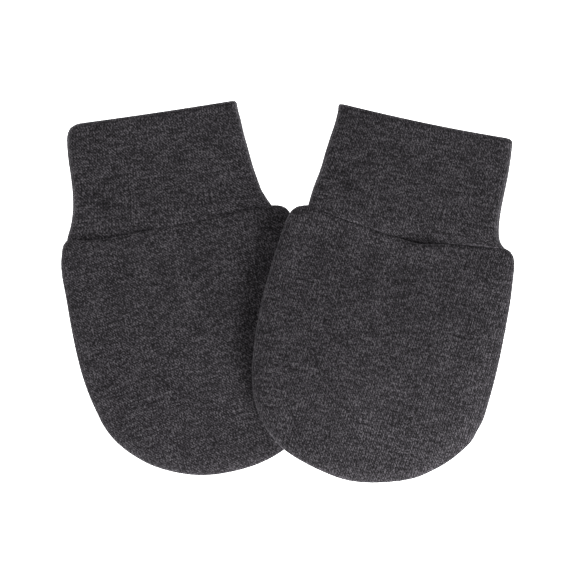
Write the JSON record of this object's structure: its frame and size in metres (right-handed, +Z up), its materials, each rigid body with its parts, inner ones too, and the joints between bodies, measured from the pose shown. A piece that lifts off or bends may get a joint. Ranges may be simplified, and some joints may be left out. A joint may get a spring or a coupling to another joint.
{
  "type": "pair of baby mittens",
  "caption": "Soft heather-knit baby mittens with long folded cuffs and no thumbs, lying flat as a pair, one on the edge of the other.",
  "frame": {"origin": "middle of the pair's bounding box, on the surface that the mittens lie on", "axes": "+X across the pair, +Y from the finger ends towards the wrists, +Z up from the surface"},
  "size_m": [0.1358, 0.1142, 0.0122],
  "materials": {
    "body_knit": "charcoal heather cotton interlock, matt, slightly fuzzy",
    "cuff_knit": "charcoal heather cotton interlock, folded double, matt"
  },
  "bodies": {
    "root": {"left_front": "body_knit", "left_back": "body_knit", "left_cuff": "cuff_knit", "right_front": "body_knit", "right_back": "body_knit", "right_cuff": "cuff_knit"}
  },
  "joints": []
}
